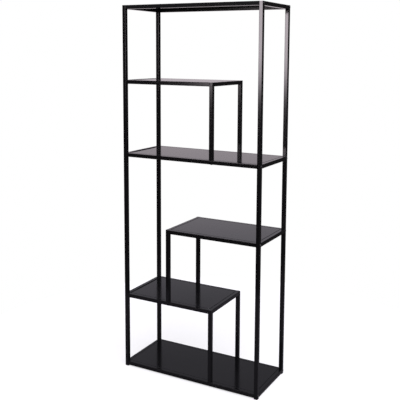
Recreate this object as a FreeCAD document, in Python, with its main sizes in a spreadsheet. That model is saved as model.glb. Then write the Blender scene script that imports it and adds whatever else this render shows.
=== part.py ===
import FreeCAD, Part
import os
import Sketcher
from FreeCAD import Placement, Rotation, Vector

# Zigzag bookshelf: two welded side frames of square steel tube, joined by three full-width levels and
# three short shelves. Each short shelf hangs on two posts and ends on a divider, a pair of legs that
# stands on the shelf below. Folded steel panels lie flush between the rails, and bolts through the
# posts and up through the shelf rails hold it all together.
# Frame: millimetres, +X to the right, +Y to the back, +Z up, origin on the floor under the middle.

doc = FreeCAD.newDocument("zigzag_bookshelf")

# Driving dimensions
SIZES = [
    ("frame_width", 757, "outside to outside of the left and right posts"),
    ("frame_depth", 317, "outside to outside of the front and back posts"),
    ("frame_height", 1850, "floor to the top of the posts"),
    ("short_shelf_length", 508, "outside of a post to the outside of the divider legs"),
    ("floor_gap", 5.5, "floor to the underside of the bottom rails"),
    ("tube_side", 19, "outside of the square tube"),
    ("tube_wall", 1.2, "wall of the square tube"),
    ("tube_corner", 2, "outer corner radius of the square tube"),
    ("sheet_gauge", 1.2, "thickness of the panel sheet"),
    ("flange_depth", 15, "depth of a panel's folded edge"),
    ("bend_inner_radius", 1.5, "inside of a panel's fold"),
    ("relief_margin", 0.3, "notch at a panel's corner, past the fold"),
    ("panel_end_gap", 0.3, "between a panel's short edge and the end rail"),
    ("insert_gap", 0.1, "round caps, nuts and glide ribs inside a tube"),
    ("cap_thickness", 3, "plate that closes a tube's top end"),
    ("nut_length", 12, "threaded block in a tube's end"),
    ("bolt_diameter", 6, "shank of a connector bolt"),
    ("bolt_tip", 2, "shank that stands out past the nut"),
    ("bolt_hole_gap", 0.25, "round the shank in a tube wall"),
    ("thread_gap", 0.05, "round the shank in a nut"),
    ("head_diameter", 14, "flat head of a connector bolt"),
    ("head_height", 2.4, "thickness of the head"),
    ("socket_width", 4, "across the flats of the hexagon socket"),
    ("socket_depth", 1.6, "depth of the hexagon socket"),
    ("glide_height", 4, "foot plate of a glide below the post"),
    ("glide_chamfer", 0.8, "chamfer round the sole of a glide"),
    ("glide_bolt_gap", 1, "between a glide's stem and the bolt above it"),
    ("glide_stem_side", 12, "square stem of a glide"),
    ("glide_rib_height", 1.5, "thickness of a gripping rib"),
]

# Gripping ribs on a glide's stem
GLIDE_RIBS = 2

# Small round sections repeat many times, so they are drawn as polygons with few sides
HEAD_SIDES = 12
SHANK_SIDES = 6
SOCKET_SIDES = 6

# Two lengths closer than this are the same
SAME = 0.001

sheet = doc.addObject("Spreadsheet::Sheet", "Sizes")
for row, (alias, number, meaning) in enumerate(SIZES, 1):
    sheet.set(f"A{row}", meaning)
    sheet.set(f"B{row}", str(number))
    sheet.setAlias(f"B{row}", alias)
doc.recompute()

# Expressions that several pieces share
LEFT = "(-Sizes.frame_width / 2)"
RIGHT = "(Sizes.frame_width / 2)"
FRONT = "(-Sizes.frame_depth / 2)"
BACK = "(Sizes.frame_depth / 2)"
HALF_TUBE = "(Sizes.tube_side / 2)"
BORE = "(Sizes.tube_side - 2 * Sizes.tube_wall)"
FRONT_ROW = f"({FRONT} + {HALF_TUBE})"
BACK_ROW = f"({BACK} - {HALF_TUBE})"
ROWS = {"front": FRONT_ROW, "back": BACK_ROW}
BETWEEN_ROWS = "(Sizes.frame_depth - 2 * Sizes.tube_side)"
BEND_RADIUS = "(Sizes.bend_inner_radius + Sizes.sheet_gauge)"
INSERT_SIDE = f"({BORE} - 2 * Sizes.insert_gap)"

# Levels from the top down, evenly spaced: left end, right end
SHORT_RIGHT_END = f"({LEFT} + Sizes.short_shelf_length)"
SHORT_LEFT_END = f"({RIGHT} - Sizes.short_shelf_length)"
LEVELS = {
    "top": (LEFT, RIGHT),
    "upper_left_shelf": (LEFT, SHORT_RIGHT_END),
    "middle_shelf": (LEFT, RIGHT),
    "right_shelf": (SHORT_LEFT_END, RIGHT),
    "lower_left_shelf": (LEFT, SHORT_RIGHT_END),
    "bottom_shelf": (LEFT, RIGHT),
}
SPACES = len(LEVELS) - 1
STEP = f"((Sizes.frame_height - Sizes.floor_gap - Sizes.tube_side) / {SPACES})"

# Dividers: the short shelf that each one carries, the shelf that it stands on, the middle of its legs
RIGHT_END_LEG = f"({SHORT_RIGHT_END} - {HALF_TUBE})"
LEFT_END_LEG = f"({SHORT_LEFT_END} + {HALF_TUBE})"
DIVIDERS = {
    "upper_divider": ("upper_left_shelf", "middle_shelf", RIGHT_END_LEG),
    "middle_divider": ("right_shelf", "lower_left_shelf", LEFT_END_LEG),
    "lower_divider": ("lower_left_shelf", "bottom_shelf", RIGHT_END_LEG),
}

# Ways a tube, bolt or nut can lie: its own +Z turned to a direction of the bookshelf
UPRIGHT = Rotation()
ALONG_X = Rotation(Vector(0, 1, 0), 90)
AGAINST_X = Rotation(Vector(0, 1, 0), -90)
ALONG_Y = Rotation(Vector(1, 0, 0), -90)

# Turn of a sketch across a tube that brings its X axis along the tube
X_ALONG_TUBE = Rotation(Vector(0, 0, 1), 90)

pieces = []


def level_top(name):
    steps = list(LEVELS).index(name)
    return f"(Sizes.frame_height - {steps} * {STEP})"


def rail_height(name):
    return f"({level_top(name)} - {HALF_TUBE})"


def value(expression):
    return float(sheet.evalExpression(expression))


def place(item, turn, x, y, z):
    item.Placement = Placement(Vector(), turn)
    item.setExpression("Placement.Base.x", x)
    item.setExpression("Placement.Base.y", y)
    item.setExpression("Placement.Base.z", z)


def new_body(label):
    return doc.addObject("PartDesign::Body", label)


def new_sketch(body, role, name):
    sketch = body.newObject("Sketcher::SketchObject", f"{body.Name}_{name}")
    plane = [feature for feature in body.Origin.OriginFeatures if feature.Role == role][0]
    sketch.AttachmentSupport = (plane, "")
    sketch.MapMode = "FlatFace"
    return sketch


def bind(sketch, constraint, name, expression):
    index = sketch.addConstraint(constraint)
    sketch.renameConstraint(index, name)
    sketch.setExpression(f"Constraints.{name}", expression)


def add_outline(sketch, corners):
    """Closed outline of lines that run level and upright by turns; returns its first line."""
    first = sketch.GeometryCount
    count = len(corners)
    for index in range(count):
        start = Vector(*corners[index], 0)
        end = Vector(*corners[(index + 1) % count], 0)
        sketch.addGeometry(Part.LineSegment(start, end), False)
    for index in range(count):
        following = first + (index + 1) % count
        sketch.addConstraint(Sketcher.Constraint("Coincident", first + index, 2, following, 1))
        direction = "Vertical" if index % 2 else "Horizontal"
        sketch.addConstraint(Sketcher.Constraint(direction, first + index))
    return first


def add_rectangle(sketch, name, width, depth):
    """Rectangle about the sketch's origin."""
    x = value(width) / 2
    y = value(depth) / 2
    line = add_outline(sketch, [(-x, -y), (x, -y), (x, y), (-x, y)])
    sketch.addConstraint(Sketcher.Constraint("Symmetric", line, 1, line + 2, 1, -1, 1))
    bind(sketch, Sketcher.Constraint("DistanceX", line, 1, line, 2, 2 * x), f"{name}_width", width)
    bind(sketch, Sketcher.Constraint("DistanceY", line + 1, 1, line + 1, 2, 2 * y), f"{name}_depth", depth)


def add_polygon(sketch, name, sides, width, distance=None):
    """Regular polygon by its width across flats, at the sketch's origin or a distance along its X axis."""
    across_corners = f"({width}) / cos(180 deg / {sides})"
    radius = value(across_corners) / 2
    middle = Vector(value(distance) if distance else 0, 0, 0)
    turns = [Rotation(Vector(0, 0, 1), 360 * side / sides) for side in range(sides)]
    corners = [middle + turn.multVec(Vector(radius, 0, 0)) for turn in turns]
    circle = sketch.addGeometry(Part.Circle(middle, Vector(0, 0, 1), radius), True)
    lines = []
    for side in range(sides):
        line = Part.LineSegment(corners[side], corners[(side + 1) % sides])
        lines.append(sketch.addGeometry(line, False))
    for side, line in enumerate(lines):
        following = lines[(side + 1) % sides]
        sketch.addConstraint(Sketcher.Constraint("Coincident", line, 2, following, 1))
        sketch.addConstraint(Sketcher.Constraint("PointOnObject", line, 1, circle))
    for line in lines[1:]:
        sketch.addConstraint(Sketcher.Constraint("Equal", lines[0], line))
    sketch.addConstraint(Sketcher.Constraint("PointOnObject", lines[0], 1, -1))
    bind(sketch, Sketcher.Constraint("Diameter", circle, 2 * radius), f"{name}_corners", across_corners)
    if distance:
        sketch.addConstraint(Sketcher.Constraint("PointOnObject", circle, 3, -1))
        bind(sketch, Sketcher.Constraint("DistanceX", -1, 1, circle, 3, middle.x), f"{name}_at", distance)
    else:
        sketch.addConstraint(Sketcher.Constraint("Coincident", circle, 3, -1, 1))


def add_pad(body, sketch, length, downwards=False):
    pad = body.newObject("PartDesign::Pad", f"{sketch.Name}_pad")
    pad.Profile = sketch
    pad.Reversed = downwards
    pad.setExpression("Length", length)
    return pad


def edges_where(shape, wanted):
    return [f"Edge{number}" for number, edge in enumerate(shape.Edges, 1) if wanted(edge)]


def add_edge_feature(body, kind, base, wanted, size_name, size):
    """Fillet or chamfer on the edges of the last feature that the test picks out."""
    doc.recompute()
    feature = body.newObject(f"PartDesign::{kind}", f"{base.Name}_{kind.lower()}")
    feature.Base = (base, edges_where(base.Shape, wanted))
    feature.setExpression(size_name, size)
    return feature


def near(first, second):
    return abs(first - second) < SAME


def is_level(edge, height):
    box = edge.BoundBox
    return near(box.ZMin, height) and near(box.ZMax, height)


def drill_across(body, width, distances):
    """Bolt holes through both walls of a tube, at these distances along it."""
    sketch = new_sketch(body, "YZ_Plane", "holes")
    sketch.AttachmentOffset = Placement(Vector(), X_ALONG_TUBE)
    for number, distance in enumerate(distances):
        add_polygon(sketch, f"hole_{number}", SHANK_SIDES, width, distance)
    holes = body.newObject("PartDesign::Pocket", f"{body.Name}_bolt_holes")
    holes.Profile = sketch
    holes.Type = "ThroughAll"
    holes.SideType = "Symmetric"


def square_tube(label, length, turn, x, y, z, holes=()):
    """Rounded square tube that starts at a point on its middle line; holes are distances along it."""
    body = new_body(label)
    section = new_sketch(body, "XY_Plane", "section")
    add_rectangle(section, "outside", "Sizes.tube_side", "Sizes.tube_side")
    add_rectangle(section, "bore", BORE, BORE)
    pad = add_pad(body, section, length)
    half = value(HALF_TUBE)

    def is_outer_corner(edge):
        middle = edge.CenterOfMass
        return near(abs(middle.x), half) and near(abs(middle.y), half)

    add_edge_feature(body, "Fillet", pad, is_outer_corner, "Radius", "Sizes.tube_corner")
    if holes:
        drill_across(body, "Sizes.bolt_diameter + 2 * Sizes.bolt_hole_gap", holes)
    place(body, turn, x, y, z)
    pieces.append(body)


def corner_posts():
    """Four posts on glides, drilled from the side for the bolts of every level that meets them."""
    length = "Sizes.frame_height - Sizes.glide_height"
    for side, end, outside in (("left", 0, LEFT), ("right", 1, RIGHT)):
        inwards = "+" if side == "left" else "-"
        met = [name for name, level in LEVELS.items() if level[end] == outside]
        holes = [f"{rail_height(name)} - Sizes.glide_height" for name in met]
        for row, y in ROWS.items():
            x = f"{outside} {inwards} {HALF_TUBE}"
            square_tube(f"{row}_{side}_post", length, UPRIGHT, x, y, "Sizes.glide_height", holes)


def side_rails():
    """Rails of the welded side frames, from the front post to the back post."""
    for name, (left, right) in LEVELS.items():
        start = f"{FRONT} + Sizes.tube_side"
        if left == LEFT:
            x = f"{LEFT} + {HALF_TUBE}"
            square_tube(f"{name}_left_rail", BETWEEN_ROWS, ALONG_Y, x, start, rail_height(name))
        if right == RIGHT:
            x = f"{RIGHT} - {HALF_TUBE}"
            square_tube(f"{name}_right_rail", BETWEEN_ROWS, ALONG_Y, x, start, rail_height(name))


def long_rails():
    """Front and back rail of every level, drilled upwards where a divider stands on it."""
    for name, (left, right) in LEVELS.items():
        start = f"({left} + Sizes.tube_side)"
        length = f"{right} - Sizes.tube_side - {start}"
        holes = [f"{leg} - {start}" for _, below, leg in DIVIDERS.values() if below == name]
        for row, y in ROWS.items():
            square_tube(f"{name}_{row}_rail", length, ALONG_X, start, y, rail_height(name), holes)


def divider_frames():
    """Two legs and the end rail between them, under the free end of each short shelf."""
    for name, (carried, below, x) in DIVIDERS.items():
        length = f"{level_top(carried)} - {level_top(below)}"
        for row, y in ROWS.items():
            square_tube(f"{name}_{row}_leg", length, UPRIGHT, x, y, level_top(below))
        start = f"{FRONT} + Sizes.tube_side"
        square_tube(f"{name}_end_rail", BETWEEN_ROWS, ALONG_Y, x, start, rail_height(carried))


def add_notched_outline(sketch, width, depth, notch):
    """Sheet outline about the sketch's origin with a square notch at each corner."""
    x = value(width) / 2
    y = value(depth) / 2
    cut = value(notch)
    corners = [(cut - x, -y), (x - cut, -y), (x - cut, cut - y), (x, cut - y),
               (x, y - cut), (x - cut, y - cut), (x - cut, y), (cut - x, y),
               (cut - x, y - cut), (-x, y - cut), (-x, cut - y), (cut - x, cut - y)]
    line = add_outline(sketch, corners)
    front, right, back, left = line, line + 3, line + 6, line + 9
    sides = (front, right, back, left)
    notch_lines = [number for number in range(line, line + len(corners)) if number not in sides]
    for number in notch_lines[1:]:
        sketch.addConstraint(Sketcher.Constraint("Equal", notch_lines[0], number))
    bind(sketch, Sketcher.Constraint("Distance", notch_lines[0], cut), "notch", notch)
    sketch.addConstraint(Sketcher.Constraint("Symmetric", front, 1, back, 1, -1, 1))
    bind(sketch, Sketcher.Constraint("DistanceX", left, 1, right, 2, 2 * x), "width", width)
    bind(sketch, Sketcher.Constraint("DistanceY", front, 1, back, 1, 2 * y), "depth", depth)


def panel(name, left, right):
    """Folded steel sheet, flush with the rails round it and open below, with relieved corners."""
    body = new_body(f"{name}_panel")
    length = f"({right} - {left} - 2 * Sizes.tube_side - 2 * Sizes.panel_end_gap)"
    blank = new_sketch(body, "XY_Plane", "blank")
    add_notched_outline(blank, length, BETWEEN_ROWS, f"{BEND_RADIUS} + Sizes.relief_margin")
    block = add_pad(body, blank, "Sizes.flange_depth", downwards=True)
    half_length = value(length) / 2
    half_depth = value(BETWEEN_ROWS) / 2

    def is_folded(edge):
        middle = edge.CenterOfMass
        on_side = near(abs(middle.x), half_length) or near(abs(middle.y), half_depth)
        return on_side and is_level(edge, 0)

    add_edge_feature(body, "Fillet", block, is_folded, "Radius", BEND_RADIUS)
    doc.recompute()
    hollow = new_sketch(body, "XY_Plane", "hollow")
    hollow.setExpression("AttachmentOffset.Base.z", "-Sizes.sheet_gauge")
    inside_length = f"{length} - 2 * Sizes.sheet_gauge"
    inside_depth = f"{BETWEEN_ROWS} - 2 * Sizes.sheet_gauge"
    add_rectangle(hollow, "inside", inside_length, inside_depth)
    pocket = body.newObject("PartDesign::Pocket", f"{body.Name}_underside")
    pocket.Profile = hollow
    pocket.Type = "ThroughAll"
    half_inside_length = value(inside_length) / 2
    half_inside_depth = value(inside_depth) / 2

    def is_inner_fold(edge):
        middle = edge.CenterOfMass
        on_side = near(abs(middle.x), half_inside_length) or near(abs(middle.y), half_inside_depth)
        return on_side and is_level(edge, -value("Sizes.sheet_gauge"))

    add_edge_feature(body, "Fillet", pocket, is_inner_fold, "Radius", "Sizes.bend_inner_radius")
    place(body, UPRIGHT, f"({left} + {right}) / 2", "0", level_top(name))
    pieces.append(body)


def panels():
    for name, (left, right) in LEVELS.items():
        panel(name, left, right)


def glide(label, x, y):
    """Moulded insert under a post: a sole as wide as the tube, and a ribbed stem up to the lowest bolt."""
    body = new_body(label)
    bolt_underside = f"{rail_height('bottom_shelf')} - Sizes.bolt_diameter / 2"
    stem_length = f"({bolt_underside} - Sizes.glide_bolt_gap - Sizes.glide_height)"
    rib_pitch = f"({stem_length} / {GLIDE_RIBS})"
    sole_sketch = new_sketch(body, "XY_Plane", "sole")
    add_rectangle(sole_sketch, "sole", "Sizes.tube_side", "Sizes.tube_side")
    sole = add_pad(body, sole_sketch, "Sizes.glide_height")

    def is_upright(edge):
        return edge.BoundBox.ZLength > SAME

    cornered = add_edge_feature(body, "Chamfer", sole, is_upright, "Size", "Sizes.tube_corner")

    def is_sole_rim(edge):
        return is_level(edge, 0)

    add_edge_feature(body, "Chamfer", cornered, is_sole_rim, "Size", "Sizes.glide_chamfer")
    stem_sketch = new_sketch(body, "XY_Plane", "stem")
    stem_sketch.setExpression("AttachmentOffset.Base.z", "Sizes.glide_height")
    add_rectangle(stem_sketch, "stem", "Sizes.glide_stem_side", "Sizes.glide_stem_side")
    add_pad(body, stem_sketch, stem_length)
    rib_sketch = new_sketch(body, "XY_Plane", "rib")
    lowest_rib = f"Sizes.glide_height + {rib_pitch} - Sizes.glide_rib_height"
    rib_sketch.setExpression("AttachmentOffset.Base.z", lowest_rib)
    add_rectangle(rib_sketch, "rib", INSERT_SIDE, INSERT_SIDE)
    rib = add_pad(body, rib_sketch, "Sizes.glide_rib_height")
    doc.recompute()
    ribs = body.newObject("PartDesign::LinearPattern", f"{label}_ribs")
    ribs.Originals = [rib]
    ribs.Direction = (rib_sketch, ["N_Axis"])
    ribs.Occurrences = GLIDE_RIBS
    ribs.setExpression("Length", f"{rib_pitch} * {GLIDE_RIBS - 1}")
    body.Tip = ribs
    place(body, UPRIGHT, x, y, "0")
    pieces.append(body)


def glides():
    for side, x in (("left", f"{LEFT} + {HALF_TUBE}"), ("right", f"{RIGHT} - {HALF_TUBE}")):
        for row, y in ROWS.items():
            glide(f"{row}_{side}_glide", x, y)


def connector_bolt():
    """Flat-headed furniture bolt: the head ends at its seat, and the shank runs on from there."""
    body = new_body("connector_bolt")
    head_sketch = new_sketch(body, "XY_Plane", "head")
    add_polygon(head_sketch, "head", HEAD_SIDES, "Sizes.head_diameter")
    add_pad(body, head_sketch, "Sizes.head_height", downwards=True)
    shank_sketch = new_sketch(body, "XY_Plane", "shank")
    add_polygon(shank_sketch, "shank", SHANK_SIDES, "Sizes.bolt_diameter")
    add_pad(body, shank_sketch, "Sizes.tube_side + Sizes.nut_length + Sizes.bolt_tip")
    doc.recompute()
    socket_sketch = new_sketch(body, "XY_Plane", "socket")
    socket_sketch.setExpression("AttachmentOffset.Base.z", "-Sizes.head_height")
    add_polygon(socket_sketch, "socket", SOCKET_SIDES, "Sizes.socket_width")
    socket = body.newObject("PartDesign::Pocket", "connector_bolt_socket")
    socket.Profile = socket_sketch
    socket.Reversed = True
    socket.setExpression("Length", "Sizes.socket_depth")
    return body


def end_nut():
    """Threaded square block for a tube's end: its outer face is flush with the end."""
    body = new_body("end_nut")
    sketch = new_sketch(body, "XY_Plane", "block")
    add_rectangle(sketch, "block", INSERT_SIDE, INSERT_SIDE)
    add_polygon(sketch, "thread", SHANK_SIDES, "Sizes.bolt_diameter + 2 * Sizes.thread_gap")
    add_pad(body, sketch, "Sizes.nut_length")
    return body


def end_cap():
    """Plate welded into a tube's top, flush with the end."""
    body = new_body("end_cap")
    sketch = new_sketch(body, "XY_Plane", "plate")
    add_rectangle(sketch, "plate", INSERT_SIDE, INSERT_SIDE)
    add_pad(body, sketch, "Sizes.cap_thickness", downwards=True)
    return body


def copies(label, master, spots):
    """One piece repeated at several spots, as a group of separate solids."""
    links = []
    for number, (turn, x, y, z) in enumerate(spots, 1):
        link = doc.addObject("App::Link", f"{label}_{number}")
        link.LinkedObject = master
        place(link, turn, x, y, z)
        links.append(link)
    group = doc.addObject("Part::Compound", label)
    group.Links = links
    pieces.append(group)


def rail_end_spots(inset):
    """Ends of the long rails that meet a post, moved in from the post's outer face."""
    spots = []
    for name, (left, right) in LEVELS.items():
        for y in ROWS.values():
            if left == LEFT:
                spots.append((ALONG_X, f"{LEFT} + {inset}", y, rail_height(name)))
            if right == RIGHT:
                spots.append((AGAINST_X, f"{RIGHT} - {inset}", y, rail_height(name)))
    return spots


def leg_foot_spots(drop):
    """Feet of the divider legs, moved down from the shelf that they stand on."""
    spots = []
    for _, below, x in DIVIDERS.values():
        for y in ROWS.values():
            spots.append((UPRIGHT, x, y, f"{level_top(below)} - {drop}"))
    return spots


def tube_top_spots():
    """Tops of the corner posts and of the divider legs."""
    spots = []
    for y in ROWS.values():
        for x in (f"{LEFT} + {HALF_TUBE}", f"{RIGHT} - {HALF_TUBE}"):
            spots.append((UPRIGHT, x, y, "Sizes.frame_height"))
        for carried, _, x in DIVIDERS.values():
            spots.append((UPRIGHT, x, y, level_top(carried)))
    return spots


def fasteners():
    bolt = connector_bolt()
    nut = end_nut()
    copies("post_bolts", bolt, rail_end_spots("0"))
    copies("rail_end_nuts", nut, rail_end_spots("Sizes.tube_side"))
    copies("divider_bolts", bolt, leg_foot_spots("Sizes.tube_side"))
    copies("divider_foot_nuts", nut, leg_foot_spots("0"))
    copies("tube_end_caps", end_cap(), tube_top_spots())


corner_posts()
side_rails()
long_rails()
divider_frames()
panels()
glides()
fasteners()
doc.recompute()

for item in doc.Objects:
    if "Invalid" in item.State or "Error" in item.State:
        raise RuntimeError(f"{item.Label} failed to build")
for piece in pieces:
    if piece.Shape.isNull() or not piece.Shape.isValid():
        raise RuntimeError(f"{piece.Label} has no valid shape")

os.makedirs("parts", exist_ok=True)
for piece in pieces:
    piece.Shape.exportStep(f"parts/{piece.Label}.step")
    print(piece.Label, len(piece.Shape.Solids), round(piece.Shape.Volume, 1))
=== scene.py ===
# %% [markdown]
# # A zigzag bookshelf in satin black steel
# A tall open bookcase: four slim posts, a top, and five shelves of which three stop short, so that the
# shelf ends and the short legs under them draw a zigzag. The steel frame is already built at its real
# size. This lesson dresses it: a powder coat, the bolts and welds that hold it, and a plain studio.

# %% Load the steel frame
import math

import bmesh
import bpy
from mathutils import Matrix, Vector


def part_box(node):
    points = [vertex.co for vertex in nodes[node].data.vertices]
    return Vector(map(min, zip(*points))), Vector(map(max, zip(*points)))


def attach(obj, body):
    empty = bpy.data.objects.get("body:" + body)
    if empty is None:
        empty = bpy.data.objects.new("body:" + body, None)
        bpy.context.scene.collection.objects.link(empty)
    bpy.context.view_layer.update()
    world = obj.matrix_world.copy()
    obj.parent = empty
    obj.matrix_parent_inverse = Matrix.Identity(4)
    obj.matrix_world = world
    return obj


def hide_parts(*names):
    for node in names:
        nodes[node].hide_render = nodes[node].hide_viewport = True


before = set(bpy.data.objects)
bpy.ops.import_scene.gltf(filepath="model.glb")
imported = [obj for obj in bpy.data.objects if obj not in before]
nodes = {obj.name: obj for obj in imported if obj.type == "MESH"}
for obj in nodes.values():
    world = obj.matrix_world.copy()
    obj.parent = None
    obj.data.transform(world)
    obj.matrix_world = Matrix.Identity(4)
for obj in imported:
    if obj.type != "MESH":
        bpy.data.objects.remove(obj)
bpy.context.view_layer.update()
MILLIMETRE = 0.001

# %% [markdown]
# ## The camera
# A camera can be placed by eye, or worked out from the straight edges in a picture. This one was worked
# out: each post and rail of the real bookshelf is a line whose place is known, and one camera fits them
# all. It stands to the right, a little lower than the top. Its lens is shifted, because the camera does
# not look at the middle of the picture. Lengths are in metres and angles in radians.

# %% Camera
PICTURE_SIDE = 400
PICTURE_MIDDLE = PICTURE_SIDE / 2
FOCAL_PIXELS = 677.2
AXIS_PIXEL_X = 221.2
AXIS_PIXEL_Y = 134.5
EYE = Vector((1.6283, -2.9081, 1.6173))
TURN_LEFT = 0.4859
TILT_DOWN = 0.1187
ROLL = 0.0077
SENSOR = 36.0
QUARTER_TURN = math.pi / 2
HALF_TURN = math.pi


def turned(angle, axis):
    return Matrix.Rotation(angle, 4, axis)


bpy.ops.object.select_all(action="DESELECT")
bpy.ops.object.camera_add()
camera = bpy.context.object
aim = turned(TURN_LEFT, "Z") @ turned(QUARTER_TURN - TILT_DOWN, "X")
camera.matrix_world = Matrix.Translation(EYE) @ aim @ turned(ROLL, "Z")
camera.data.sensor_width = SENSOR
camera.data.lens = FOCAL_PIXELS / PICTURE_SIDE * SENSOR
camera.data.shift_x = (PICTURE_MIDDLE - AXIS_PIXEL_X) / PICTURE_SIDE
camera.data.shift_y = (AXIS_PIXEL_Y - PICTURE_MIDDLE) / PICTURE_SIDE
bpy.context.scene.camera = camera
bpy.context.scene.view_settings.view_transform = "Standard"
print("lens in millimetres:", round(camera.data.lens, 1))


# %% [markdown]
# ## A way to write shader maths
# Shader nodes can be wired one by one, but sums written as sums are easier to read. The class below
# stands for one output of a node. Adding, subtracting or multiplying it adds the Math node that does so,
# and its node method adds any other kind of node.

# %% Shader maths
class Wire:
    """An output of a shader node. Sums of wires and numbers add Math nodes."""

    def __init__(self, tree, output=None):
        self.tree = tree
        self.output = output

    def node(self, kind, settings=None, sockets=None, output=0):
        """Add a node: its settings first, then values or wires for its sockets. Returns one output."""
        made = self.tree.nodes.new("ShaderNode" + kind)
        for name, setting in (settings or {}).items():
            setattr(made, name, setting)
        for name, item in (sockets or {}).items():
            socket = pick(made.inputs, name)
            if isinstance(item, Wire):
                self.tree.links.new(item.output, socket)
            else:
                socket.default_value = item
        return Wire(self.tree, pick(made.outputs, output)) if made.outputs else None

    def maths(self, operation, first, second):
        return self.node("Math", {"operation": operation}, {0: first, 1: second})

    def __add__(self, other):
        return self.maths("ADD", self, other)

    def __radd__(self, other):
        return self.maths("ADD", other, self)

    def __sub__(self, other):
        return self.maths("SUBTRACT", self, other)

    def __rsub__(self, other):
        return self.maths("SUBTRACT", other, self)

    def __mul__(self, other):
        return self.maths("MULTIPLY", self, other)

    def __rmul__(self, other):
        return self.maths("MULTIPLY", other, self)


def pick(sockets, key):
    """A socket by its number, or by its name among those that the node's settings leave in use."""
    if isinstance(key, int):
        return sockets[key]
    return [socket for socket in sockets if socket.enabled and socket.name == key][0]


def empty_tree(owner):
    owner.use_nodes = True
    owner.node_tree.nodes.clear()
    return Wire(owner.node_tree)


# %% [markdown]
# Four helpers come back in the studio and in the finishes: a soft step, a mix of two colours, one part
# of a vector, and soft random patches. The patches follow the piece's own coordinates, so they stay put
# on it.

# %% Shader helpers
def fade(wire, start, end, low=0.0, high=1.0):
    """A soft step: low before start, high past end."""
    settings = {"interpolation_type": "SMOOTHSTEP"}
    ends = {"Value": wire, "From Min": start, "From Max": end, "To Min": low, "To Max": high}
    return wire.node("MapRange", settings, ends, "Result")


def blend_colours(factor, first, second):
    return factor.node("Mix", {"data_type": "RGBA"}, {"Factor": factor, "A": first, "B": second}, "Result")


def along(vector, axis):
    return vector.node("SeparateXYZ", sockets={"Vector": vector}, output=axis)


def noise(tree, scale, detail):
    place = tree.node("TexCoord", output="Object")
    return tree.node("TexNoise", sockets={"Vector": place, "Scale": scale, "Detail": detail}, output="Fac")


# %% [markdown]
# ## The studio
# Satin black is drawn by what it mirrors. Lamps could give it that, but a world that changes with direction
# gives soft edges with little grain. Two angles in degrees tell a direction: how far it lies to the left of
# the front or the back, and how far it rises above the horizon.

# %% Directions in the studio
DEGREES_PER_RADIAN = math.degrees(1)

world = bpy.data.worlds.new("studio")
bpy.context.scene.world = world
air = empty_tree(world)
direction = air.node("TexCoord", output="Generated")
leftward = 0 - along(direction, "X")
forward = 0 - along(direction, "Y")
rise = air.maths("ARCSINE", along(direction, "Z"), 0) * DEGREES_PER_RADIAN
left_of_front = air.maths("ARCTAN2", leftward, forward) * DEGREES_PER_RADIAN
left_of_back = air.maths("ARCTAN2", leftward, 0 - forward) * DEGREES_PER_RADIAN
print("nodes that tell a direction:", len(world.node_tree.nodes))

# %% [markdown]
# The shelf tops mirror a pale backdrop behind the bookshelf, brightest at the horizon. The front faces
# mirror one large soft light, far off on the left and as low as the horizon. A span gives four angles:
# where a light starts, where it is full, where it begins to fall and where it ends.

# %% Backdrop and soft light
BACKDROP = 0.555
BACKDROP_HIGH = 0.175
BACKDROP_SPAN = (-10, 10, 40, 48)
BACKDROP_RISE = (9, 25)
HORIZON = 0.14
HORIZON_RISE = (1, 7)
SOFT_LIGHT = 10.8
SOFT_LIGHT_SPAN = (8, 14, 27, 30.5)
SOFT_LIGHT_RISE = (-4.5, -0.3, 6, 9)


def between(wire, start, full_start, full_end, end):
    """A soft band: rises from start to full_start, and falls from full_end to end."""
    return fade(wire, start, full_start) * fade(wire, end, full_end)


low_backdrop = fade(rise, *BACKDROP_RISE, BACKDROP, BACKDROP_HIGH) + fade(rise, *HORIZON_RISE, HORIZON, 0)
backdrop = between(left_of_back, *BACKDROP_SPAN) * low_backdrop
soft_light = between(left_of_front, *SOFT_LIGHT_SPAN) * between(rise, *SOFT_LIGHT_RISE) * SOFT_LIGHT
print("backdrop and soft light:", BACKDROP, SOFT_LIGHT)

# %% [markdown]
# The rest of the room is dim. Its walls are left out where the front and right faces would mirror them, and
# they grow paler above eye level, so that the shelves also show their shape from behind and from above. A
# broad fill light stands high behind the camera, where no flat face mirrors it, and brings each colour to
# about its written value.

# %% Room, walls and fill light
ROOM = 0.055
WALLS = 0.07
SURROUND = 0.32
SURROUND_RISE = (8, 22)
BACKDROP_GAP = (-14, 0, 46, 58)
FRONT_FACE_GAP = (14, 20, 38, 48)
RIGHT_FACE_GAP = (-168, -162, -138, -128)
FILL_LIGHT = 2.7
FILL_SPAN = (-115, -85, -15, 8)
FILL_RISE = (14, 26)
OVERHEAD = 1.4
OVERHEAD_RISE = (37, 72)

beside = 1 - between(left_of_back, *BACKDROP_GAP)
past_front_gap = 1 - between(left_of_front, *FRONT_FACE_GAP)
past_right_gap = 1 - between(left_of_front, *RIGHT_FACE_GAP)
walls = beside * (past_front_gap * past_right_gap * WALLS + fade(rise, *SURROUND_RISE) * SURROUND)
fill_light = between(left_of_front, *FILL_SPAN) * fade(rise, *FILL_RISE) * FILL_LIGHT
overhead = fade(rise, *OVERHEAD_RISE, 0, OVERHEAD)
glow = ROOM + walls + backdrop + soft_light + fill_light + overhead
print("nodes of the studio so far:", len(world.node_tree.nodes))

# %% [markdown]
# The light is a little rosy low down and a little blue higher up. Only the camera sees plain white
# instead of the studio, because white would turn the coat pale if the coat mirrored it.

# %% World
WHITE = (1.0, 1.0, 1.0, 1.0)
LOW_TINT = (1.0, 0.9, 0.96, 1.0)
HIGH_TINT = (0.95, 0.92, 1.04, 1.0)
TINT_RISE = (6, 20)

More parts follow.
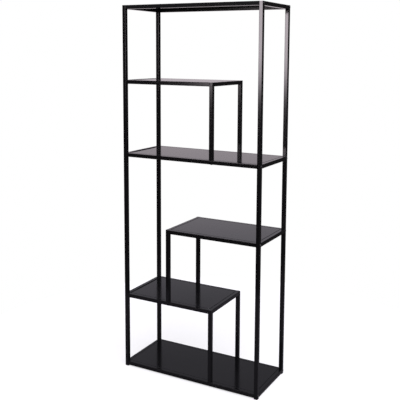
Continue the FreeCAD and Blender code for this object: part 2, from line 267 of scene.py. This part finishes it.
tint = blend_colours(fade(rise, *TINT_RISE), LOW_TINT, HIGH_TINT)
studio = air.node("Background", sockets={"Color": tint, "Strength": glow})
plain = air.node("Background", sockets={"Color": WHITE, "Strength": 1.0})
by_camera = air.node("LightPath", output="Is Camera Ray")
seen = air.node("MixShader", sockets={0: by_camera, 1: studio, 2: plain})
air.node("OutputWorld", sockets={"Surface": seen})
print("nodes of the world:", len(world.node_tree.nodes))

# %% [markdown]
# The floor is one flat disc. To the camera it is white and keeps a faint shadow. To the coat it is a matt
# grey, which the lower front faces mirror.

# %% Floor
FLOOR_RADIUS = 1.45
FLOOR_CORNERS = 64
FLOOR_GREY = (0.125, 0.12, 0.125, 1.0)
FLOOR_PALE = (0.35, 0.35, 0.35, 1.0)
FLOOR_GLOW = 0.64

bpy.ops.mesh.primitive_circle_add(vertices=FLOOR_CORNERS, radius=FLOOR_RADIUS, fill_type="NGON")
floor = bpy.context.object
floor.name = "floor"
floor_finish = bpy.data.materials.new("studio_floor")
ground = empty_tree(floor_finish)
matt = ground.node("BsdfDiffuse", sockets={"Color": FLOOR_GREY})
pale = ground.node("BsdfDiffuse", sockets={"Color": FLOOR_PALE})
lit = ground.node("Emission", sockets={"Color": WHITE, "Strength": FLOOR_GLOW})
white_floor = ground.node("AddShader", sockets={0: pale, 1: lit})
by_camera = ground.node("LightPath", output="Is Camera Ray")
seen = ground.node("MixShader", sockets={0: by_camera, 1: matt, 2: white_floor})
ground.node("OutputMaterial", sockets={"Surface": seen})
floor.data.materials.append(floor_finish)
print("floor radius in metres:", FLOOR_RADIUS)

# %% [markdown]
# ## The powder coat
# Satin black powder coat is baked on as dust that melts. On rounded edges the melt pulls away and bakes to
# a duller skin, so the coat has to know where a face turns away from the three axes. A tube is never
# welded quite square either: a lean tips the shading of a whole piece, as if it were turned by a few
# degrees.

# %% Round edges and leaning pieces
SQUARE_TO_AXIS = 0.999
ROUNDED_OFF = 0.97


def roundness(tree):
    """0 on a face that lies square to an axis, 1 on a rounded edge between two such faces."""
    facing = tree.node("NewGeometry", output="Normal")
    parts = tree.node("VectorMath", {"operation": "ABSOLUTE"}, {0: facing}, "Vector")
    largest = tree.maths("MAXIMUM", along(parts, "X"), along(parts, "Y"))
    largest = tree.maths("MAXIMUM", largest, along(parts, "Z"))
    return fade(largest, SQUARE_TO_AXIS, ROUNDED_OFF)


def tipped_normal(tree, lean):
    facing = tree.node("NewGeometry", output="Normal")
    facing = tree.node("VectorMath", {"operation": "ADD"}, {0: facing, 1: lean}, "Vector")
    return tree.node("VectorMath", {"operation": "NORMALIZE"}, {0: facing}, "Vector")


# %% [markdown]
# The coat is smooth to the hand, but it is a little thicker here and thinner there, which changes its
# gloss, and it shows a very fine ripple, called orange peel, where it mirrors an edge. A picture could hold
# both, but noise at two scales has no seams and no limit to its detail. A second, duller shader is mixed
# in on the rounded edges.

# %% Powder coat
COAT_DARK = (0.0015, 0.0015, 0.0018, 1.0)
COAT_LIGHT = (0.003, 0.003, 0.0033, 1.0)
CLOUD_SCALE = 7.0
CLOUD_DETAIL = 3.0
PEEL_SCALE = 650.0
PEEL_DETAIL = 1.0
PEEL_DEPTH = 0.0000015
NOISE_MIDDLE = 0.5
GLOSS_SPREAD = 0.04
EDGE_DULLNESS = 0.85
EDGE_ROUGHNESS = 0.6
EDGE_SHINE = 0.12


def powder_coat(name, roughness, lean=None):
    """Satin black with drifting gloss, a fine ripple and dull edges. A lean tips its shading."""
    material = bpy.data.materials.new(name)
    coat = empty_tree(material)
    clouds = noise(coat, CLOUD_SCALE, CLOUD_DETAIL)
    peel = noise(coat, PEEL_SCALE, PEEL_DETAIL)
    ripple = {"Height": peel, "Strength": 1.0, "Distance": PEEL_DEPTH}
    if lean:
        ripple["Normal"] = tipped_normal(coat, lean)
    bump = coat.node("Bump", sockets=ripple, output="Normal")
    colour = blend_colours(clouds, COAT_DARK, COAT_LIGHT)
    gloss = roughness + GLOSS_SPREAD * (clouds - NOISE_MIDDLE)
    satin = coat.node("BsdfPrincipled", sockets={"Base Color": colour, "Roughness": gloss, "Normal": bump})
    dull = coat.node("BsdfPrincipled", sockets={
        "Base Color": colour, "Roughness": EDGE_ROUGHNESS,
        "Specular IOR Level": EDGE_SHINE, "Normal": bump})
    mixed = coat.node("MixShader", sockets={0: EDGE_DULLNESS * roundness(coat), 1: satin, 2: dull})
    coat.node("OutputMaterial", sockets={"Surface": mixed})
    return material


# %% [markdown]
# The tubes are a little glossier than the sheet. Four pieces lean: the front and back rails of the top, its
# panel, and one leg.

# %% Coats of the tubes and the sheet
TUBE_ROUGHNESS = 0.11
SHEET_ROUGHNESS = 0.14
LEAN_UP = (0.0, 0.0, 0.1)
LEAN_DOWN = (-0.03, 0.0, -0.075)
TURN_ASIDE = (-0.03, 0.0, 0.0)

tube_coat = powder_coat("tube_coat_black", TUBE_ROUGHNESS)
sheet_coat = powder_coat("sheet_coat_black", SHEET_ROUGHNESS)
leaning = {
    "top_front_rail": powder_coat("tube_coat_black_leaning_up", TUBE_ROUGHNESS, LEAN_UP),
    "top_back_rail": powder_coat("tube_coat_black_leaning_down", TUBE_ROUGHNESS, LEAN_DOWN),
    "top_panel": powder_coat("sheet_coat_black_leaning_down", SHEET_ROUGHNESS, LEAN_DOWN),
    "upper_divider_back_leg": powder_coat("tube_coat_black_turned", TUBE_ROUGHNESS, TURN_ASIDE),
}
print("leaning pieces:", list(leaning))

# %% [markdown]
# ## Small finishes
# The bolts are blackened steel, duller than the coat and with a trace of oil. The nuts are bright zinc,
# with the faint grain of plating. The glides are black nylon from a mould with a sparked, matt skin.

# %% Grainy finishes
BLACKENED_DARK = (0.010, 0.010, 0.011, 1.0)
BLACKENED_LIGHT = (0.024, 0.023, 0.022, 1.0)
ZINC_DARK = (0.42, 0.43, 0.44, 1.0)
ZINC_LIGHT = (0.62, 0.62, 0.60, 1.0)
NYLON_DARK = (0.010, 0.010, 0.010, 1.0)
NYLON_LIGHT = (0.018, 0.018, 0.018, 1.0)
PATCH_SCALE = 180.0
PATCH_DETAIL = 4.0
PATCH_GLOSS_SPREAD = 0.16
GRAIN_DETAIL = 2.0


def grainy_finish(name, dark, light, metallic, roughness, grain_scale, grain_depth):
    """A finish whose colour and gloss drift in patches, over a fine grain."""
    material = bpy.data.materials.new(name)
    finish = empty_tree(material)
    patches = noise(finish, PATCH_SCALE, PATCH_DETAIL)
    grain = noise(finish, grain_scale, GRAIN_DETAIL)
    ripple = {"Height": grain, "Strength": 1.0, "Distance": grain_depth}
    bump = finish.node("Bump", sockets=ripple, output="Normal")
    colour = blend_colours(patches, dark, light)
    gloss = roughness + PATCH_GLOSS_SPREAD * (patches - NOISE_MIDDLE)
    sockets = {"Base Color": colour, "Metallic": metallic, "Roughness": gloss, "Normal": bump}
    shader = finish.node("BsdfPrincipled", sockets=sockets)
    finish.node("OutputMaterial", sockets={"Surface": shader})
    return material


blackened_steel = grainy_finish(
    "bolt_blackened", BLACKENED_DARK, BLACKENED_LIGHT,
    metallic=0.0, roughness=0.30, grain_scale=2200.0, grain_depth=0.000006)
bright_zinc = grainy_finish(
    "nut_bright_zinc", ZINC_DARK, ZINC_LIGHT,
    metallic=1.0, roughness=0.34, grain_scale=1500.0, grain_depth=0.000008)
black_nylon = grainy_finish(
    "glide_black_nylon", NYLON_DARK, NYLON_LIGHT,
    metallic=0.0, roughness=0.48, grain_scale=1800.0, grain_depth=0.00002)
print("small finishes:", blackened_steel.name, bright_zinc.name, black_nylon.name)

# %% [markdown]
# Each piece of the frame comes with a slot that names its kind of finish, so the finishes are handed out by
# that name. A leaning piece takes its own coat.

# %% Finishes for the frame
finishes = {"tube_coat": tube_coat, "sheet_coat": sheet_coat, "bolt_finish": blackened_steel,
            "nut_steel": bright_zinc, "glide_plastic": black_nylon}
for name, piece in nodes.items():
    for slot in piece.material_slots:
        kind = slot.material.name.split(".")[0]
        slot.material = leaning.get(name, finishes[kind])
print("finishes:", len(finishes), "on pieces:", len(nodes))


# %% [markdown]
# ## Modelling by code
# By hand one would pick an object, go into edit mode and click on faces. Here a few helpers do the same:
# they choose faces by which way they look, draw them out, and apply modifiers.

# %% Edit mode helpers
def only(shape):
    """Select one object and nothing else."""
    bpy.ops.object.select_all(action="DESELECT")
    shape.select_set(True)
    bpy.context.view_layer.objects.active = shape


def edit(shape):
    """Go into edit mode on one object only."""
    only(shape)
    bpy.ops.object.mode_set(mode="EDIT")
    bpy.ops.mesh.select_mode(type="FACE")


def choose_faces(shape, wanted):
    mesh = bmesh.from_edit_mesh(shape.data)
    bpy.ops.mesh.select_all(action="DESELECT")
    for face in mesh.faces:
        if wanted(face):
            face.select_set(True)
    bmesh.update_edit_mesh(shape.data)


def extrude(x=0.0, y=0.0, z=0.0):
    bpy.ops.mesh.extrude_region_move(TRANSFORM_OT_translate={"value": (x, y, z)})


def apply_modifier(shape, kind, settings):
    modifier = shape.modifiers.new(kind.lower(), kind)
    for name, setting in settings.items():
        setattr(modifier, name, setting)
    only(shape)
    bpy.ops.object.modifier_apply(modifier=modifier.name)


# %% [markdown]
# ## The connector bolts
# Each rail is held to its post by a low button-head bolt with a flange and a hexagon socket, and each short
# leg by one from below. A turned profile could be spun, but a head is quicker to draw as it is forged: a
# flat disc, whose top is inset and raised to a crown and whose underside is drawn out to the shank.

# %% One connector bolt
HEAD_RADIUS = 7.0 * MILLIMETRE
FLANGE_THICKNESS = 0.7 * MILLIMETRE
CROWN_RADIUS = 5.6 * MILLIMETRE
CROWN_ROUNDING = 1.2 * MILLIMETRE
CROWN_STEPS = 5
HEAD_HEIGHT = 2.4 * MILLIMETRE
SHANK_RADIUS = 3.0 * MILLIMETRE
SHANK_LENGTH = 33.0 * MILLIMETRE
TIP_CHAMFER = 0.8 * MILLIMETRE
BOLT_SIDES = 32
STRAIGHT = 0.9

bpy.ops.object.select_all(action="DESELECT")
middle_of_flange = (0, 0, FLANGE_THICKNESS / 2)
bpy.ops.mesh.primitive_cylinder_add(
    vertices=BOLT_SIDES, radius=HEAD_RADIUS, depth=FLANGE_THICKNESS, location=middle_of_flange)
bpy.ops.object.transform_apply(location=True, rotation=True, scale=True)
bolt = bpy.context.object
edit(bolt)
choose_faces(bolt, lambda face: face.normal.z > STRAIGHT)
bpy.ops.mesh.inset(thickness=HEAD_RADIUS - CROWN_RADIUS)
extrude(z=HEAD_HEIGHT - FLANGE_THICKNESS)
bpy.ops.mesh.bevel(offset=CROWN_ROUNDING, segments=CROWN_STEPS, affect="EDGES")
choose_faces(bolt, lambda face: face.normal.z < -STRAIGHT)
bpy.ops.mesh.inset(thickness=HEAD_RADIUS - SHANK_RADIUS)
extrude(z=-SHANK_LENGTH)
bpy.ops.mesh.bevel(offset=TIP_CHAMFER, segments=1, affect="EDGES")
bpy.ops.object.mode_set(mode="OBJECT")
print("bolt faces:", len(bolt.data.polygons))

# %% [markdown]
# The socket is cut with a six-sided bar, as a broach does it. Its corner radius follows from its width
# across the flats. A fine bevel then breaks all the sharp edges.

# %% Hexagon socket
SOCKET_WIDTH = 4.0 * MILLIMETRE
SOCKET_DEPTH = 1.6 * MILLIMETRE
SOCKET_SIDES = 6
EDGE_BREAK = 0.15 * MILLIMETRE
EDGE_BREAK_STEPS = 2
BOLT_SMOOTH_ANGLE = math.radians(35)

bpy.ops.object.select_all(action="DESELECT")
bpy.ops.mesh.primitive_cylinder_add(
    vertices=SOCKET_SIDES, radius=SOCKET_WIDTH / math.sqrt(3), depth=2 * SOCKET_DEPTH,
    location=(0, 0, HEAD_HEIGHT))
broach = bpy.context.object
apply_modifier(bolt, "BOOLEAN", {"object": broach, "operation": "DIFFERENCE", "solver": "EXACT"})
bpy.data.objects.remove(broach)
bevel = {"width": EDGE_BREAK, "segments": EDGE_BREAK_STEPS, "limit_method": "ANGLE"}
apply_modifier(bolt, "BEVEL", bevel)
bpy.ops.object.shade_smooth_by_angle(angle=BOLT_SMOOTH_ANGLE)
bolt.data.materials.append(blackened_steel)
print("bolt faces with socket:", len(bolt.data.polygons))

# %% [markdown]
# Where the bolts go follows from the frame: one on the outer face of a post for every rail end that meets
# it, and one under the rail that each leg stands on. Each is turned a little further than the last, as
# bolts are when they are tightened by hand.

# %% Places of the bolts
TURN_PER_BOLT = 0.7
TOUCH = 1.0 * MILLIMETRE
ROWS = ("front", "back")
SIDES = ("left", "right")
LEVELS = ("top", "upper_left_shelf", "middle_shelf", "right_shelf", "lower_left_shelf", "bottom_shelf")
DIVIDERS = {"upper_divider": "middle_shelf", "middle_divider": "lower_left_shelf",
            "lower_divider": "bottom_shelf"}


def middle(node):
    low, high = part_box(node)
    return (Vector(low) + Vector(high)) / 2


head_left = turned(-QUARTER_TURN, "Y")
head_right = turned(QUARTER_TURN, "Y")
head_down = turned(HALF_TURN, "X")
post_bolt_places = []
for level in LEVELS:
    for row in ROWS:
        rail = f"{level}_{row}_rail"
        rail_low, rail_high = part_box(rail)
        centre = middle(rail)
        for side in SIDES:
            post_low, post_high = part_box(f"{row}_{side}_post")
            gap = rail_low[0] - post_high[0] if side == "left" else post_low[0] - rail_high[0]
            if gap < TOUCH:
                outer = post_low[0] if side == "left" else post_high[0]
                seat = Matrix.Translation((outer, centre.y, centre.z))
                turn = turned(TURN_PER_BOLT * len(post_bolt_places), "Z")
                post_bolt_places.append(seat @ (head_left if side == "left" else head_right) @ turn)

leg_bolt_places = []
for divider, shelf in DIVIDERS.items():
    for row in ROWS:
        centre = middle(f"{divider}_{row}_leg")
        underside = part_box(f"{shelf}_{row}_rail")[0][2]
        turn = turned(TURN_PER_BOLT * len(leg_bolt_places), "Z")
        leg_bolt_places.append(Matrix.Translation((centre.x, centre.y, underside)) @ head_down @ turn)
print("post bolts:", len(post_bolt_places), "leg bolts:", len(leg_bolt_places))

# %% [markdown]
# One bolt was modelled, and copies of it go to all the places. Each copy has its own mesh, and the copies
# of one kind are joined into one piece, which takes the place of the frame's plain bolts.

# %% All the bolts
def copies(master, name, places):
    """Copies of a master shape at the given places, joined into one piece at the origin."""
    made = []
    for place in places:
        copy = master.copy()
        copy.data = master.data.copy()
        copy.data.transform(place)
        bpy.context.collection.objects.link(copy)
        made.append(copy)
    bpy.ops.object.select_all(action="DESELECT")
    for copy in made:
        copy.select_set(True)
    bpy.context.view_layer.objects.active = made[0]
    bpy.ops.object.join()
    piece = bpy.context.object
    piece.name = name
    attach(piece, "root")
    return piece


post_bolts = copies(bolt, "button_head_post_bolts", post_bolt_places)
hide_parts("post_bolts")
leg_bolts = copies(bolt, "button_head_leg_bolts", leg_bolt_places)
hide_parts("divider_bolts")
bpy.data.objects.remove(bolt)
print("faces of all bolts:", len(post_bolts.data.polygons) + len(leg_bolts.data.polygons))

# %% [markdown]
# ## The welds
# The side frames, the ends of the short shelves and the panels are welded, and the coat covers the welds.
# A bead is a row of overlapping drops: a disc is drawn out ring by ring, wider and narrower in turn. Beads
# in a corner are then cut by the two steel faces that they join, and beads on a flush seam by one.

# %% Weld beads
BEAD_RADIUS = 2.0 * MILLIMETRE
BEAD_LENGTH = 15.0 * MILLIMETRE
BEAD_DROPS = 7
BEAD_THIN_ENDS = 1
BEAD_SIDES = 16
BEAD_SMOOTH_ANGLE = math.radians(50)
DROP_WAIST = 0.86
END_SIZE = 0.5
Y_FACE = (0, 1, 0)
Z_FACE = (0, 0, 1)


def weld_bead(length, radius, drops, thin_ends, faces):
    """A bead along X about the origin. Its outer drops, thin_ends of them, taper, and faces cut it."""
    radii = []
    for half in range(2 * drops + 1):
        waist = 1.0 if half % 2 else DROP_WAIST
        from_end = min(half, 2 * drops - half) / 2
        grown = min(1.0, END_SIZE + (1 - END_SIZE) * from_end / thin_ends)
        radii.append(radius * waist * grown)
    bpy.ops.object.select_all(action="DESELECT")
    bpy.ops.mesh.primitive_circle_add(
        vertices=BEAD_SIDES, radius=radii[0], fill_type="NGON", rotation=(0, QUARTER_TURN, 0))
    bpy.ops.object.transform_apply(location=True, rotation=True, scale=True)
    shape = bpy.context.object
    edit(shape)
    bpy.ops.mesh.select_all(action="SELECT")
    bpy.ops.transform.translate(value=(-length / 2, 0, 0))
    for before, after in zip(radii, radii[1:]):
        extrude(x=length / (2 * drops))
        bpy.ops.transform.resize(value=(1, after / before, after / before))
    bpy.ops.mesh.select_all(action="SELECT")
    bpy.ops.mesh.normals_make_consistent(inside=False)
    for face in faces:
        bpy.ops.mesh.select_all(action="SELECT")
        bpy.ops.mesh.bisect(plane_co=(0, 0, 0), plane_no=face, use_fill=True, clear_inner=True)
    bpy.ops.object.mode_set(mode="OBJECT")
    bpy.ops.object.shade_smooth_by_angle(angle=BEAD_SMOOTH_ANGLE)
    shape.data.materials.append(tube_coat)
    return shape


bead = weld_bead(BEAD_LENGTH, BEAD_RADIUS, BEAD_DROPS, BEAD_THIN_ENDS, (Y_FACE, Z_FACE))
bead_size = [round(side / MILLIMETRE, 2) for side in bead.dimensions]
print("bead faces:", len(bead.data.polygons), "size in millimetres:", bead_size)

# %% [markdown]
# A bead lies along its own X axis, with steel behind it in Y and Z. A place is therefore a corner point
# and the two open directions at that corner.

# %% Places under a rail
DOWN = Vector((0, 0, -1))
RIGHT = Vector((1, 0, 0))
BACK = Vector((0, 1, 0))
X_AXIS, Y_AXIS = 0, 1
LOW_END, HIGH_END = 0, 1


def under_corner(point, open_side):
    """Place a bead under a rail: it is open downwards and towards open_side, and lies across both."""
    lie = open_side.cross(DOWN)
    turn = Matrix((lie, open_side, DOWN)).transposed().to_4x4()
    return Matrix.Translation(point) @ turn


def beads_at_ends(rail, axis):
    """One bead under each end of a rail that runs along an axis."""
    low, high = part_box(rail)
    centre = middle(rail)
    places = []
    for end, inwards in ((low, 1), (high, -1)):
        point = Vector((centre.x, centre.y, low[2]))
        point[axis] = end[axis]
        open_side = Vector((0, 0, 0))
        open_side[axis] = inwards
        places.append(under_corner(point, open_side))
    return places


# %% [markdown]
# The side rails are welded between the posts at both ends, and so are the end rails of the dividers between
# their legs. The front and back rails of a short shelf are welded to the legs at their free end. The side
# rails of the bottom shelf get no beads below, because they lie just above the floor.

# %% Welds of the tubes
FREE_ENDS = {"upper_left_shelf": HIGH_END, "right_shelf": LOW_END, "lower_left_shelf": HIGH_END}

tube_weld_places = []
for level in LEVELS:
    for side in SIDES:
        rail = f"{level}_{side}_rail"
        if rail in nodes and level != "bottom_shelf":
            tube_weld_places += beads_at_ends(rail, Y_AXIS)
for divider in DIVIDERS:
    tube_weld_places += beads_at_ends(f"{divider}_end_rail", Y_AXIS)
for level, end in FREE_ENDS.items():
    for row in ROWS:
        tube_weld_places.append(beads_at_ends(f"{level}_{row}_rail", X_AXIS)[end])
tube_welds = copies(bead, "tube_weld_beads", tube_weld_places)
print("tube welds:", len(tube_weld_places))

# %% [markdown]
# Each panel hangs between its rails by its folded edges. Short beads along the lower edge of the fold hold
# it, about one every two hands along the long sides and one on each short side.

# %% Welds of the panels
WELD_SPACING = 0.18

panel_weld_places = []
for level in LEVELS:
    low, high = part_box(f"{level}_panel")
    centre = middle(f"{level}_panel")
    count = round((high[0] - low[0]) / WELD_SPACING)
    spacing = (high[0] - low[0]) / count
    for number in range(count):
        x = low[0] + spacing * (number + 0.5)
        panel_weld_places.append(under_corner(Vector((x, low[1], low[2])), BACK))
        panel_weld_places.append(under_corner(Vector((x, high[1], low[2])), -BACK))
    panel_weld_places.append(under_corner(Vector((low[0], centre.y, low[2])), RIGHT))
    panel_weld_places.append(under_corner(Vector((high[0], centre.y, low[2])), -RIGHT))
panel_welds = copies(bead, "panel_weld_beads", panel_weld_places)
bpy.data.objects.remove(bead)
print("panel welds:", len(panel_weld_places))

# %% [markdown]
# At the left end of three shelves the seam between the panel and the rail is welded from above as well.
# Such a long bead is laid in one pass, and is left as it is: it thins out towards both ends. It is flatter
# on the upper left shelf.

# %% Welds along the left rails
SEAM_RADIUS = 3.6 * MILLIMETRE
SEAM_OFFSET = 4.0 * MILLIMETRE
SEAM_DROPS = 50
SEAM_THIN_ENDS = 12
SEAM_HEIGHTS = {"upper_left_shelf": 0.55, "middle_shelf": 1.0, "lower_left_shelf": 1.0}

seam_places = []
for level, height in SEAM_HEIGHTS.items():
    low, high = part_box(f"{level}_panel")
    point = Vector((low[0] + SEAM_OFFSET, (low[1] + high[1]) / 2, high[2]))
    lie = turned(QUARTER_TURN, "Z") @ Matrix.Diagonal((1, 1, height, 1))
    seam_places.append(Matrix.Translation(point) @ lie)
    seam_length = high[1] - low[1] - 2 * SEAM_OFFSET
seam = weld_bead(seam_length, SEAM_RADIUS, SEAM_DROPS, SEAM_THIN_ENDS, (Z_FACE,))
seam_welds = copies(seam, "seam_weld_beads", seam_places)
bpy.data.objects.remove(seam)
print("seam welds:", len(seam_places), "length in metres:", round(seam_length, 3))
